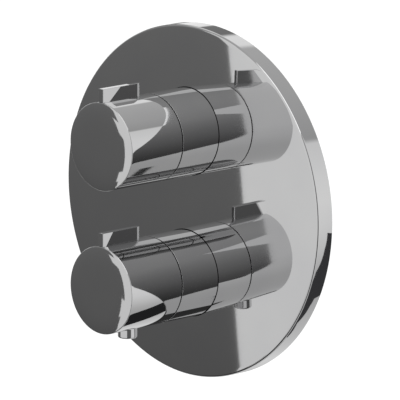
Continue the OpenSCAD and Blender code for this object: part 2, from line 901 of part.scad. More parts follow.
module thermostat_body() {
  color("lightgray") at_axis(-1) difference() {
    union() {
      rod(neck_r, neck_front_y, nut_seat);
      rod(thermostat_r, nut_seat, thermostat_end_y);
    }
    rod(spindle_r + run_fit, neck_front_y - overrun, flange_y);
    rod(pusher_bore_r, flange_y - slip_fit, hot_seat_y + overrun);
    rod(shuttle_bore_r, hot_seat_y, thermostat_end_y + overrun);
    block(0, pusher_bore_r, pusher_key_w + 2 * slip_fit, 2 * (pusher_key_h + slip_fit),
      flange_y - slip_fit, hot_seat_y + overrun);
    for (y = thermostat_seal_places)
      groove(thermostat_r, seal_land_depth, y, 2 * thermostat_seal_r + 2 * slip_fit);
    for (y = [hot_y, cold_y]) {
      groove(thermostat_r, supply_groove_depth, y, supply_groove_w);
      windows(supply_holes, supply_hole_r, y, thermostat_r + overrun);
    }
    groove(thermostat_r, supply_groove_depth, mixed_y, mixed_groove_w);
    windows(mixed_windows, mixed_window_r, mixed_y, thermostat_r + overrun);
  }
}

module thermostat_seals() {
  place = thermostat_r - seal_land_depth + thermostat_seal_r + run_fit;
  color("black") at_axis(-1) for (y = thermostat_seal_places) seal(place, thermostat_seal_r, y);
}

module temperature_spindle() {
  color("goldenrod") at_axis(-1) {
    difference() {
      spindle_front(temperature_grub_angle, flange_y);
      spindle_grooves(temperature_spindle_seal_places);
    }
    rod(flange_r, flange_y, flange_y + flange_t);
    rod(thread_r, flange_y + overrun, thread_end_y);
  }
}

module temperature_spindle_seals() {
  at_axis(-1) spindle_rings(temperature_spindle_seal_places);
}

module temperature_spindle_clip() {
  spindle_clip(-1);
}

// The pusher rides on the spindle's thread and is kept from turning by its key
module thermostat_pusher() {
  color("lightgray") at_axis(-1) difference() {
    union() {
      rod(pusher_r, pusher_front_y, pusher_end_y);
      block(0, pusher_r, pusher_key_w, 2 * pusher_key_h, pusher_front_y, pusher_front_y + pusher_key_len);
    }
    rod(thread_r + run_fit, pusher_front_y - overrun, pusher_cup_y + overrun);
    rod(pusher_cup_r, pusher_cup_y, pusher_end_y + overrun);
  }
}

module overload_cap() {
  color("silver") at_axis(-1) rod(cap_disc_r, element_pin_y - cap_disc_t, element_pin_y - spring_end_gap);
}

module wax_element() {
  color("peru") at_axis(-1) {
    rod(element_pin_r, element_pin_y, element_collar_y);
    rod(element_guide_r, element_collar_y - element_guide_len, element_collar_y);
    rod(collar_disc_r, element_collar_y, element_collar_y + collar_disc_t);
    rod(element_r, element_collar_y + collar_disc_t, element_collar_y + collar_disc_t + element_len);
  }
}

module shuttle() {
  color("silver") at_axis(-1) difference() {
    rod(shuttle_r, shuttle_y, shuttle_end_y);
    rod(element_bore_r, shuttle_y - overrun, shuttle_end_y + overrun);
    for (i = [0 : shuttle_ports - 1]) round_y(360 * i / shuttle_ports) translate([shuttle_port_place, 0, 0])
      rod(shuttle_port_r, shuttle_y - overrun, shuttle_end_y + overrun, small);
  }
}

module cold_seat_ring() {
  color("silver") at_axis(-1) pipe(shuttle_r, cold_seat_bore_r, cold_seat_y, cold_seat_y + cold_seat_t);
}

module spring_seat() {
  color("silver") at_axis(-1) difference() {
    rod(shuttle_r, seat_disc_y, seat_disc_y + seat_disc_t);
    rod(seat_bore_r, seat_disc_y - overrun, seat_disc_y + seat_disc_t + overrun);
    for (i = [0 : seat_ports - 1]) round_y(360 * i / seat_ports) translate([seat_port_place, 0, 0])
      rod(seat_port_r, seat_disc_y - overrun, seat_disc_y + seat_disc_t + overrun, small);
  }
}

// A spring of round wire: rings of wire_sides points, coil_rings of them to a turn, along Y
coil_rings = 8;
wire_sides = 6;
function coil_ring(i, r, wire_r, from, pitch) =
  let (a = 360 * i / coil_rings, y = from + wire_r + pitch * i / coil_rings)
  [for (k = [0 : wire_sides - 1]) let (b = 360 * k / wire_sides, out = r + wire_r * cos(b))
    [out * cos(a), y + wire_r * sin(b), out * sin(a)]];

// The least distance between the points of neighbouring turns
function turn_gap(rings, turns) = min([for (i = [0 : coil_rings * (turns - 1)], step = [-1 : 1])
  let (j = min(i + coil_rings + step, coil_rings * turns))
  for (p = rings[i], q = rings[j]) norm(p - q)]);

module coil(name, r, wire_d, from, to, turns) {
  wire_r = wire_d / 2;
  pitch = (to - from - wire_d) / turns;
  last = coil_rings * turns;
  rings = [for (i = [0 : last]) coil_ring(i, r, wire_r, from, pitch)];
  sides = [for (i = [0 : last - 1], k = [0 : wire_sides - 1])
    let (a = i * wire_sides + k, b = i * wire_sides + (k + 1) % wire_sides)
    each [[a, a + wire_sides, b + wire_sides], [a, b + wire_sides, b]]];
  start = [for (k = [1 : wire_sides - 2]) [0, k, k + 1]];
  first = last * wire_sides;
  end = [for (k = [1 : wire_sides - 2]) [first, first + k + 1, first + k]];
  echo(str(name, " least gap between turns: "), turn_gap(rings, turns));
  polyhedron([for (ring = rings) each ring], concat(sides, start, end));
}

module return_spring() {
  color("silver") at_axis(-1)
    coil("return spring", return_spring_r, return_wire_d, shuttle_end_y + spring_end_gap,
      seat_disc_y - spring_end_gap, return_coils);
}

module overload_spring() {
  color("silver") at_axis(-1)
    coil("overload spring", overload_spring_r, overload_wire_d, pusher_cup_y + spring_end_gap,
      element_pin_y - cap_disc_t - spring_end_gap, overload_coils);
}

module button_spring() {
  color("silver") at_axis(-1) translate([0, button_y, 0]) rotate([-90, 0, 0])
    coil("button spring", button_spring_r, button_wire_d, pocket_floor + spring_end_gap,
      latch_bottom - spring_end_gap, button_coils);
}

// The cast body: two round castings joined by a bridge, with ports, passages and fixing ears
module valve_body() {
  color("goldenrod") difference() {
    valve_casting();
    valve_chambers();
    valve_ports();
    mixed_passage();
    outlet_passages();
    for (side = [-1, 1]) translate([side * fixing_gap / 2, 0, 0])
      rod(fixing_hole_d / 2, fixing_back - fixing_ear_t - overrun, fixing_back + overrun, small);
  }
}

module valve_casting() {
  at_axis(-1) rod(thermostat_case_r, case_front, thermostat_case_back);
  at_axis(1) rod(flow_case_r, case_front, flow_case_back);
  for (side = [-1, 1]) at_axis(side) rod(boss_r, -boss_front, case_front + overrun);
  for (y = [bridge_front_y, bridge_rear_y]) translate([0, y, 0]) upright_rod(bridge_r, -axis_z, axis_z, fine);
  block(0, 0, bridge_w, axis_gap, bridge_front_y, bridge_rear_y);
  translate([0, inlet_y, -axis_z]) cross_rod(inlet_d / 2, -port_reach, port_reach, fine);
  translate([0, outlet_y, axis_z]) cross_rod(outlet_d / 2, -port_reach, 0, fine);
  translate([0, outlet_y, 0]) upright_rod(outlet_d / 2, axis_z, top_port_z, fine);
  block(0, 0, fixing_gap, ear_web_h, fixing_back - fixing_ear_t, fixing_back);
  for (side = [-1, 1]) translate([side * fixing_gap / 2, 0, 0])
    rod(fixing_ear_d / 2, fixing_back - fixing_ear_t, fixing_back);
}

module valve_chambers() {
  for (side = [-1, 1]) at_axis(side) {
    rod(nut_thread_d / 2, -boss_front - overrun, nut_seat);
    groove(boss_r, 2 * boss_seal_r, boss_seal_y, 2 * boss_seal_r + 2 * slip_fit);
  }
  at_axis(-1) rod(thermostat_chamber_r, nut_seat - overrun, thermostat_chamber_depth);
  at_axis(1) rod(flow_chamber_r, nut_seat - overrun, flow_chamber_depth);
}

// Threads and check valve seats of the two inlets, and the outlets' threads
module valve_ports() {
  for (side = [-1, 1]) translate([0, inlet_y, -axis_z]) mirror([side < 0 ? 1 : 0, 0, 0]) {
    cross_rod(port_bore_r, inlet_end, port_reach + overrun);
    cross_rod(check_seat_r, check_seat_end, inlet_end + overrun);
  }
  for (supply = [[hot_y, 1], [cold_y, 0]]) translate([0, supply[0], -axis_z]) mirror([supply[1], 0, 0])
    cross_rod(supply_r, thermostat_chamber_r - overrun, check_seat_end + overrun);
  translate([0, outlet_y, axis_z]) cross_rod(port_bore_r, -port_reach - overrun, -port_end);
  translate([0, outlet_y, 0]) upright_rod(port_bore_r, top_port_end_z, top_port_z + overrun);
}

// From the thermostat up, forward through the bridge, and up again to the flow cartridge
module mixed_passage() {
  rear_start = -axis_z + shuttle_r;
  front_end = axis_z - flow_cavity_r;
  translate([0, mixed_y, 0]) upright_rod(mixed_r, rear_start, mixed_turn_z);
  translate([0, mixed_y, mixed_turn_z]) sphere(mixed_r, $fn = small);
  translate([0, 0, mixed_turn_z]) rod(mixed_r, flow_window_y, mixed_y, small);
  translate([0, flow_window_y, mixed_turn_z]) sphere(mixed_r, $fn = small);
  translate([0, flow_window_y, 0]) upright_rod(mixed_r, mixed_turn_z, front_end);
}

module outlet_passages() {
  at_axis(1) {
    disc_ports(flow_chamber_depth - overrun, side_bore_y);
    translate([0, side_bore_y, 0]) cross_rod(outlet_passage_r, -port_end - overrun, -disc_port_r);
    translate([disc_port_r, side_bore_y, 0])
      upright_rod(outlet_passage_r, 0, top_port_end_z - axis_z + overrun);
  }
}

// Inlet pieces, drawn for the right-hand inlet and mirrored for the left-hand one
module at_inlet(side) {
  translate([0, inlet_y, -axis_z]) mirror([side < 0 ? 1 : 0, 0, 0]) children();
}

module inlet_filter(side) {
  color("silver") at_inlet(side) difference() {
    cross_rod(check_r, filter_x, filter_x + filter_t);
    for (ring = filter_rings, i = [0 : ring[0] - 1])
      rotate([360 * i / ring[0], 0, 0]) translate([0, ring[1], 0])
        cross_rod(filter_hole_r, filter_x - overrun, filter_x + filter_t + overrun, tiny);
  }
}

module hot_filter() {
  inlet_filter(-1);
}

module cold_filter() {
  inlet_filter(1);
}

// A sleeve with a seat lip at its outer end and a three-armed guide for the poppet's stem
module check_body(side) {
  color("ivory") at_inlet(side) {
    difference() {
      cross_rod(check_r, check_inner_x, check_outer_x);
      cross_rod(check_bore_r, check_inner_x - overrun, check_outer_x - check_lip_t);
      cross_rod(check_lip_r, check_inner_x, check_outer_x + overrun);
    }
    difference() {
      union() {
        cross_rod(stem_r + spider_w, spider_x, spider_x + spider_t);
        for (i = [0 : 2]) rotate([120 * i, 0, 0]) translate([spider_x, stem_r + spider_w / 2, -spider_w / 2])
          cube([spider_t, check_bore_r - stem_r, spider_w]);
      }
      cross_rod(stem_r + run_fit, spider_x - overrun, spider_x + spider_t + overrun);
    }
  }
}

module hot_check_body() {
  check_body(-1);
}

module cold_check_body() {
  check_body(1);
}

module check_poppet(side) {
  color("black") at_inlet(side) {
    cross_rod(poppet_r, poppet_x - poppet_t, poppet_x);
    cross_rod(stem_r, stem_end, poppet_x);
  }
}

module hot_check_poppet() {
  check_poppet(-1);
}

module cold_check_poppet() {
  check_poppet(1);
}

module check_spring(side, name) {
  color("silver") at_inlet(side) rotate([0, 0, -90])
    coil(name, check_spring_r, check_wire_d, spider_x + spider_t + spring_end_gap,
      poppet_x - poppet_t - spring_end_gap, check_coils);
}

module hot_check_spring() {
  check_spring(-1, "hot check spring");
}

module cold_check_spring() {
  check_spring(1, "cold check spring");
}

face_plate();
upper_collar();
lower_collar();
wall_gasket();
plate_seals();
upper_sleeve();
lower_sleeve();
sleeve_seals();
flow_handle();
flow_tab();
flow_hub();
flow_grub_screw();
temperature_handle();
temperature_tab();
temperature_hub();
temperature_grub_screw();
safety_button();
button_latch();
button_spring();
flow_cartridge_nut();
flow_cartridge_body();
flow_cartridge_seal();
flow_spindle();
flow_spindle_seals();
flow_spindle_clip();
flow_moving_disc();
flow_fixed_disc();
flow_disc_seal();
thermostat_nut();
thermostat_body();
thermostat_seals();
temperature_spindle();
temperature_spindle_seals();
temperature_spindle_clip();
temperature_stop_ring();
thermostat_pusher();
overload_spring();
overload_cap();
wax_element();
shuttle();
cold_seat_ring();
return_spring();
spring_seat();
valve_body();
hot_filter();
cold_filter();
hot_check_body();
cold_check_body();
hot_check_poppet();
cold_check_poppet();
hot_check_spring();
cold_check_spring();
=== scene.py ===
# %% [markdown]
# Thermostatic shower valve: the looks
#
# The mechanical model of the valve is packed already. This lesson dresses it: the chrome parts that
# show in front of the wall are remade with smooth, rounded meshes, and every hidden part behind the
# wall gets the finish of the real material it is made of. Lengths are in millimetres in this text and
# in metres in the scene. +Y points into the wall and +Z up.

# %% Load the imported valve
import math

import bpy
from mathutils import Matrix, Vector


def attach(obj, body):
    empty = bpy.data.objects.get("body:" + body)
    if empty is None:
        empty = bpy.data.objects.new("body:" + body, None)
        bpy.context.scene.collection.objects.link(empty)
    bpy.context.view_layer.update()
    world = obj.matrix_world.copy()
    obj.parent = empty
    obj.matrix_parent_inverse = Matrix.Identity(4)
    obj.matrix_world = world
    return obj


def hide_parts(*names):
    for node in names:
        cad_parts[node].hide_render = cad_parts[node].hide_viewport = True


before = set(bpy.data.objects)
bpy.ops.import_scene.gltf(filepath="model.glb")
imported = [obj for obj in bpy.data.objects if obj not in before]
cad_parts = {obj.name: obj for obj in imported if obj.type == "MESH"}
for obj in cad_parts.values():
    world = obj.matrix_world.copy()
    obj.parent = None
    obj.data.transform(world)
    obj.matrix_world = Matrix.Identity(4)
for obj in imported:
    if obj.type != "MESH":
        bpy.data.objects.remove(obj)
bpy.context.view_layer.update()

mm = 0.001

# %% [markdown]
# The camera
#
# The photograph was taken from far away with a long lens: the front and the back of the plate are
# drawn at almost the same scale. The camera stands to the right of the valve and a little above it,
# nearly three metres away, and a 486 mm lens brings the plate up to the size of the picture.

# %% Camera at the photograph's viewing angle
view_azimuth = math.radians(45.3045)
view_elevation = math.radians(11.7279)
view_roll = math.radians(0.2617)
view_distance = 2.874
view_target = Vector((7.65 * mm, -11 * mm, 1.97 * mm))
lens_mm = 486.45
sensor_mm = 36

towards_camera = Vector((
    math.sin(view_azimuth) * math.cos(view_elevation),
    -math.cos(view_azimuth) * math.cos(view_elevation),
    math.sin(view_elevation),
))
level_right = Vector((math.cos(view_azimuth), math.sin(view_azimuth), 0))
level_up = towards_camera.cross(level_right)
camera_right = level_right * math.cos(view_roll) + level_up * math.sin(view_roll)
camera_up = level_up * math.cos(view_roll) - level_right * math.sin(view_roll)

camera_data = bpy.data.cameras.new("photo_camera")
camera_data.lens = lens_mm
camera_data.sensor_width = sensor_mm
camera_data.clip_start = 0.1
camera_data.clip_end = 50
camera = bpy.data.objects.new("photo_camera", camera_data)
bpy.context.scene.collection.objects.link(camera)
camera_turn = Matrix((camera_right, camera_up, towards_camera)).transposed().to_4x4()
camera.matrix_world = Matrix.Translation(view_target + towards_camera * view_distance) @ camera_turn
bpy.context.scene.camera = camera
bpy.context.scene.view_settings.view_transform = "Standard"
print("camera at", [round(v, 3) for v in camera.matrix_world.translation])

# %% [markdown]
# Nodes and colours
#
# A material is a small graph of nodes. One function adds a node with its settings and its inputs, and
# one turns a colour written as sRGB hex into the linear values that the shader works with.

# %% Helpers for materials
def add_node(tree, kind, inputs=None, **settings):
    """A node. An input is a value, a socket to link, or a node whose first output is linked."""
    node = tree.nodes.new(kind)
    for name, value in settings.items():
        setattr(node, name, value)
    for key, value in (inputs or {}).items():
        if isinstance(value, bpy.types.Node):
            value = value.outputs[0]
        if isinstance(value, bpy.types.NodeSocket):
            tree.links.new(value, node.inputs[key])
        else:
            node.inputs[key].default_value = value
    return node


def linear(hex_colour):
    """An sRGB colour as the shader's linear red, green, blue and 1."""
    parts = [int(hex_colour[i:i + 2], 16) / 255 for i in (1, 3, 5)]
    return [c / 12.92 if c <= 0.04045 else ((c + 0.055) / 1.055) ** 2.4 for c in parts] + [1]


print("mid grey is", [round(v, 3) for v in linear("#808080")])

# %% [markdown]
# The studio
#
# Chrome has hardly any colour of its own: it shows the room. The photograph's room is dark grey at
# the front and lighter towards the ceiling, with one big light panel straight in front of the valve.
# Behind the valve's level it is pale below and greyer above, with a dark strip between two bright
# ones at the upper left. Only what is mirrored sees that room.
#
# A direction in front of the valve is written as a place on a plane one unit away: how far across it
# lies, how far up, and its reach from the middle. All borders are drawn with plain sums on these,
# because a colour ramp would blur them.

# %% Directions of the studio
world = bpy.data.worlds.new("studio")
bpy.context.scene.world = world
world.use_nodes = True
sky = world.node_tree
sky.nodes.clear()

where = add_node(sky, "ShaderNodeTexCoord")
axes = add_node(sky, "ShaderNodeSeparateXYZ", {0: where.outputs["Generated"]})
to_the_right, to_the_wall, to_the_top = axes.outputs
forward = add_node(sky, "ShaderNodeMath", {0: to_the_wall, 1: -1.0}, operation="MULTIPLY")
in_front = add_node(sky, "ShaderNodeMath", {0: forward, 1: 0.0}, operation="GREATER_THAN")
across = add_node(sky, "ShaderNodeMath", {0: to_the_right, 1: forward}, operation="DIVIDE")
up = add_node(sky, "ShaderNodeMath", {0: to_the_top, 1: forward}, operation="DIVIDE")
up_squared = add_node(sky, "ShaderNodeMath", {0: up, 1: up}, operation="MULTIPLY")
reach_squared = add_node(sky, "ShaderNodeMath",
                         {0: across, 1: across, 2: up_squared}, operation="MULTIPLY_ADD")
reach = add_node(sky, "ShaderNodeMath", {0: reach_squared}, operation="SQRT")
print("directions measured with", len(sky.nodes), "nodes")

# %% [markdown]
# The light panel
#
# The panel is a disc with straight parts around it, one box for each part. Its left border is what
# the plate and the handles' faces show as the line between dark and light, and two small steps in it
# give the faces their stepped crescent. The right side, whose border leans a little, and the foot show
# in the barrels. A box is drawn by comparing the two distances, which gives a sharp border.

# %% Light panel
panel_reach = 0.932
right_border_lean = -0.21
panel = add_node(sky, "ShaderNodeMath", {0: reach, 1: panel_reach}, operation="LESS_THAN")
leaning = add_node(sky, "ShaderNodeMath", {0: up, 1: right_border_lean, 2: across}, operation="MULTIPLY_ADD")

# Left, right, bottom and top of each straight part, and what left and right are measured along
panel_parts = {
    "left side": (-0.922, 0.0, -0.345, -0.1, across),
    "left side, lower part": (-0.947, 0.0, -0.5, -0.345, across),
    "upper step": (-0.962, 0.0, -0.245, -0.203, across),
    "lower step": (-0.965, 0.0, -0.36, -0.318, across),
    "right side": (0.0, 0.952, -0.6, -0.16, leaning),
    "foot": (-0.08, 0.91, -1.35, -0.52, across),
    "foot, left part": (-0.55, -0.07, -1.03, -0.6, across),
    "lower left corner": (-0.78, -0.52, -1.0, -0.68, across),
    "upper left corner": (-0.95, -0.57, 0.62, 0.9, across),
}


def inside(left, right, bottom, top, sideways):
    """1 inside a box of the panel's plane, else 0."""
    wide = add_node(sky, "ShaderNodeMath",
                    {0: sideways, 1: (left + right) / 2, 2: (right - left) / 2}, operation="COMPARE")
    tall = add_node(sky, "ShaderNodeMath",
                    {0: up, 1: (bottom + top) / 2, 2: (top - bottom) / 2}, operation="COMPARE")
    return add_node(sky, "ShaderNodeMath", {0: wide, 1: tall}, operation="MULTIPLY")


for part in panel_parts.values():
    panel = add_node(sky, "ShaderNodeMath", {0: panel, 1: inside(*part)}, operation="MAXIMUM")
print("disc of", round(math.degrees(math.atan(panel_reach)), 1), "degrees with", ", ".join(panel_parts))

# %% [markdown]
# The wedge
#
# A light wedge points out from the panel to the upper right. It is measured along its own direction
# and sideways from that, since it stands at an angle. It starts at its base, so that it doesn't light
# the dark left side as well.

# %% Wedge of the panel
wedge_turn = math.radians(54)
wedge_slope = 1.5
wedge_tip = 1.05
wedge_base = 0.85
up_outwards = add_node(sky, "ShaderNodeMath", {0: up, 1: math.sin(wedge_turn)}, operation="MULTIPLY")
outwards = add_node(sky, "ShaderNodeMath",
                    {0: across, 1: math.cos(wedge_turn), 2: up_outwards}, operation="MULTIPLY_ADD")
up_sideways = add_node(sky, "ShaderNodeMath", {0: up, 1: math.cos(wedge_turn)}, operation="MULTIPLY")
sideways = add_node(sky, "ShaderNodeMath",
                    {0: across, 1: -math.sin(wedge_turn), 2: up_sideways}, operation="MULTIPLY_ADD")
off_middle = add_node(sky, "ShaderNodeMath", {0: sideways}, operation="ABSOLUTE")
to_tip = add_node(sky, "ShaderNodeMath",
                  {0: outwards, 1: wedge_slope, 2: off_middle}, operation="MULTIPLY_ADD")
before_tip = add_node(sky, "ShaderNodeMath", {0: to_tip, 1: wedge_slope * wedge_tip}, operation="LESS_THAN")
past_base = add_node(sky, "ShaderNodeMath", {0: outwards, 1: wedge_base}, operation="GREATER_THAN")
wedge = add_node(sky, "ShaderNodeMath", {0: before_tip, 1: past_base}, operation="MULTIPLY")
panel = add_node(sky, "ShaderNodeMath", {0: panel, 1: wedge}, operation="MAXIMUM")
print("wedge reaches from", wedge_base, "to", wedge_tip)

# %% [markdown]
# The dark band and the bright lamp
#
# A thin dark band crosses the panel's foot: it is part of a ring about the middle, kept inside a box.
# A bright lamp stands far out at the upper right, and the rounded edge of the plate draws it as a
# white line. Each of its borders is a mask of its own, and the masks are multiplied.

# %% Dark band and lamp
band_reach = 1.15
band_half = 0.014
band_box = (0.05, 0.53, -1.2, -0.9)
band_ring = add_node(sky, "ShaderNodeMath", {0: reach, 1: band_reach, 2: band_half}, operation="COMPARE")
dark_band = add_node(sky, "ShaderNodeMath",
                     {0: inside(*band_box, across), 1: band_ring}, operation="MULTIPLY")
beside_band = add_node(sky, "ShaderNodeMath", {0: 1.0, 1: dark_band}, operation="SUBTRACT")
for mask in (beside_band, in_front):
    panel = add_node(sky, "ShaderNodeMath", {0: panel, 1: mask}, operation="MULTIPLY")

lamp_reach = 1.3
lamp_slope = 0.9
lamp_level = 1.6
far_out = add_node(sky, "ShaderNodeMath", {0: reach, 1: lamp_reach}, operation="GREATER_THAN")
on_the_right = add_node(sky, "ShaderNodeMath", {0: across, 1: 0.0}, operation="GREATER_THAN")
lamp_foot = add_node(sky, "ShaderNodeMath", {0: across, 1: lamp_slope}, operation="MULTIPLY")
high_up = add_node(sky, "ShaderNodeMath", {0: up, 1: lamp_foot}, operation="GREATER_THAN")
lamp_place = in_front
for mask in (far_out, on_the_right, high_up):
    lamp_place = add_node(sky, "ShaderNodeMath", {0: lamp_place, 1: mask}, operation="MULTIPLY")
print("lamp starts", round(math.degrees(math.atan(lamp_reach)), 1), "degrees from straight ahead")

# %% [markdown]
# Levels of the room
#
# Away from the borders the grey levels change slowly with height, or behind the valve with the turn
# about the barrels' direction. A list of angles and levels draws each of them.

# %% Front room, light panel and back room
height = add_node(sky, "ShaderNodeMath", {0: to_the_top}, operation="ARCSINE")
round_barrels = add_node(sky, "ShaderNodeMath", {0: to_the_top, 1: to_the_right}, operation="ARCTAN2")


def levels(angle, stops):
    """Grey levels that follow an angle in radians. The stops are (degrees, level)."""
    low, high = stops[0][0], stops[-1][0]
    share = add_node(sky, "ShaderNodeMapRange",
                     {0: angle, 1: math.radians(low), 2: math.radians(high), 3: 0.0, 4: 1.0})
    ramp = add_node(sky, "ShaderNodeValToRGB", {0: share})
    marks = ramp.color_ramp.elements
    for degrees, _ in stops[1:-1]:
        marks.new((degrees - low) / (high - low))
    for mark, (_, level) in zip(marks, stops):
        mark.color = (level, level, level, 1)
    return ramp


dark_room = levels(height, [
    (-90, 0.03), (-45, 0.05), (-33, 0.058), (-22, 0.095), (-11.5, 0.142), (-3, 0.189), (11, 0.255),
    (22, 0.323), (32, 0.398), (46, 0.455), (90, 0.6)])
light_panel = levels(height, [(-90, 0.55), (-35, 0.68), (-20, 0.79), (0, 0.88), (90, 0.9)])
back_room = levels(round_barrels, [
    (-180, 0.3), (-150, 0.62), (-128, 0.84), (-98, 0.7), (-60, 0.52), (-48, 0.59), (-32, 0.75), (-16, 0.88),
    (0, 0.93), (15, 0.91), (38, 0.83), (41, 0.43), (63, 0.49), (111, 0.55), (119, 0.55), (123, 1.0),
    (136, 1.0), (140, 0.22), (158, 0.22), (160, 1.0), (180, 1.0)])
behind = add_node(sky, "ShaderNodeMapRange", {0: to_the_wall, 1: -0.05, 2: 0.05, 3: 0.0, 4: 1.0})
front_room = add_node(sky, "ShaderNodeMix", {0: panel, 6: dark_room, 7: light_panel}, data_type="RGBA")
lit_room = add_node(sky, "ShaderNodeMix",
                    {0: lamp_place, 6: front_room.outputs[2], 7: (lamp_level, lamp_level, lamp_level, 1)},
                    data_type="RGBA")
whole_room = add_node(sky, "ShaderNodeMix",
                      {0: behind, 6: lit_room.outputs[2], 7: back_room}, data_type="RGBA")
print("room drawn with", len(sky.nodes), "nodes")

# %% [markdown]
# Who sees the studio
#
# The camera sees plain white. Mirrored rays see the room. The matt parts get an even light, so that
# their colours render about as they are written.

# %% What the camera, the mirrors and the matt parts see
path = add_node(sky, "ShaderNodeLightPath")
room_light = add_node(sky, "ShaderNodeBackground", {"Color": whole_room.outputs[2], "Strength": 1.0})
even_light = add_node(sky, "ShaderNodeBackground", {"Color": linear("#FFFFFF"), "Strength": 0.85})
plain_white = add_node(sky, "ShaderNodeBackground", {"Color": linear("#FFFFFF"), "Strength": 1.0})
matt_or_mirror = add_node(sky, "ShaderNodeMixShader",
                          {0: path.outputs["Is Glossy Ray"], 1: even_light, 2: room_light})
seen = add_node(sky, "ShaderNodeMixShader",
                {0: path.outputs["Is Camera Ray"], 1: matt_or_mirror, 2: plain_white})
add_node(sky, "ShaderNodeOutputWorld", {"Surface": seen})
print("studio made of", len(sky.nodes), "nodes")

# %% [markdown]
# Two dark screens and two light cards
#
# The bottom of the barrels and the lower right of the plate's rim mirror something nearly black close
# to the valve. Two dark screens behind the plate's level stand for it. A small light card less than a
# millimetre beside each tab lights the front corner of its side. Mirrored rays alone see all four.
# They belong to the studio, so they stay where they are when a handle turns.

# %% Screens and cards
def screen(name, corners, colour):
    """A flat card of the studio that mirrored rays alone see. Corners are in millimetres."""
    bpy.ops.object.select_all(action="DESELECT")
    bpy.ops.mesh.primitive_circle_add(vertices=len(corners), radius=mm, fill_type="NGON")
    card = bpy.context.active_object
    card.name = name
    for vertex, corner in zip(card.data.vertices, corners):
        vertex.co = Vector(corner) * mm
    card.visible_camera = False
    card.visible_diffuse = False
    card.visible_shadow = False
    paint = bpy.data.materials.new(name)
    paint.use_nodes = True
    paint.node_tree.nodes.clear()
    glow = add_node(paint.node_tree, "ShaderNodeEmission", {"Color": linear(colour), "Strength": 1.0})
    add_node(paint.node_tree, "ShaderNodeOutputMaterial", {"Surface": glow})
    card.data.materials.append(paint)


screen_depth = 64
rim_corners = [(158, -28), (153, -50), (143, -79), (130, -100), (112, -118), (86, -134), (60, -142),
               (58, -137), (82, -129), (104, -112), (112, -104), (112, -96), (104, -88), (130, -60),
               (148, -28)]
barrel_corners = [(106, -138), (98, -156), (88, -178), (82, -192), (60, -205), (0, -212), (-36, -202),
                  (-10, -193), (18, -182), (40, -171), (70, -150), (100, -132)]
screen("rim_screen", [(x, screen_depth, z) for x, z in rim_corners], "#3E3E40")
screen("barrel_screen", [(x, screen_depth, z) for x, z in barrel_corners], "#262627")

card_x = 2.3
card_front = -76
card_height = 7.9
for place, top_z, high_y, low_y in (("upper", 69.3, -62.7, -71.9), ("lower", -7.7, -68.3, -74.0)):
    foot_z = top_z - card_height
    card_corners = [(card_front, top_z), (high_y, top_z), (low_y, foot_z), (card_front, foot_z)]
    screen(place + "_tab_card", [(card_x, y, z) for y, z in card_corners], "#ECECEC")

# %% [markdown]
# The soft lamp
#
# One soft lamp above the camera gives the matt parts a light side and a shade side. It is kept out of
# the mirrors, which have the studio above.

# %% Soft lamp
lamp_data = bpy.data.lights.new("soft_lamp", "AREA")
lamp_data.shape = "DISK"
lamp_data.size = 1.2
lamp_data.energy = 9
lamp = bpy.data.objects.new("soft_lamp", lamp_data)
bpy.context.scene.collection.objects.link(lamp)
lamp.location = (0.9, -1.6, 1.5)
lamp.rotation_mode = "QUATERNION"
lamp.rotation_quaternion = Vector(lamp.location).to_track_quat("Z", "Y")
lamp.visible_glossy = False
lamp.visible_camera = False
print("lamp at", [round(v, 2) for v in lamp.location])

# %% [markdown]
# The floor
#
# A plain pale floor well below the valve catches its soft shadow. Camera rays see it almost white, so
# that it joins the white background. It stays out of the mirrors for the same reason as the lamp.

# %% Pale floor
floor_radius = 4
floor_level = -0.45
bpy.ops.object.select_all(action="DESELECT")
bpy.ops.mesh.primitive_circle_add(vertices=96, radius=floor_radius, fill_type="NGON",
                                  location=(0, 0, floor_level))
floor = bpy.context.active_object
floor.name = "studio_floor"
floor.visible_glossy = False
pale = bpy.data.materials.new("pale_floor")
pale.use_nodes = True
pale.node_tree.nodes.clear()
floor_path = add_node(pale.node_tree, "ShaderNodeLightPath")
matt_floor = add_node(pale.node_tree, "ShaderNodeBsdfDiffuse", {"Color": linear("#F4F4F4")})
floor_white = add_node(pale.node_tree, "ShaderNodeEmission", {"Color": linear("#FFFFFF"), "Strength": 0.3})
both = add_node(pale.node_tree, "ShaderNodeAddShader", {0: matt_floor, 1: floor_white})
choice = add_node(pale.node_tree, "ShaderNodeMixShader",
                  {0: floor_path.outputs["Is Camera Ray"], 1: matt_floor, 2: both})
add_node(pale.node_tree, "ShaderNodeOutputMaterial", {"Surface": choice})
floor.data.materials.append(pale)
print("floor at", floor_level)

# %% [markdown]
# How a finish is worked
#
# All finishes but the foam are made alike. Two close tones lie in patches, since a real surface is never
# one colour. A finer grain from the tool or the mould makes the gloss uneven and, where it is deep
# enough, dents the surface. Patches, grain and depth are given in millimetres on the real part. Grain
# that would be too fine to show is drawn coarser, and the text says where.

# %% A worked finish
noise_low = 0.3
noise_high = 0.7


def new_finish(name, metallic):
    """A material with a principled shader. Returns it with its tree, the shader and places on the piece."""
    finish = bpy.data.materials.new(name)
    finish.use_nodes = True
    tree = finish.node_tree
    tree.nodes.clear()
    shader = add_node(tree, "ShaderNodeBsdfPrincipled", {"Metallic": metallic})
    add_node(tree, "ShaderNodeOutputMaterial", {"Surface": shader})
    return finish, tree, shader, add_node(tree, "ShaderNodeTexCoord").outputs["Object"]


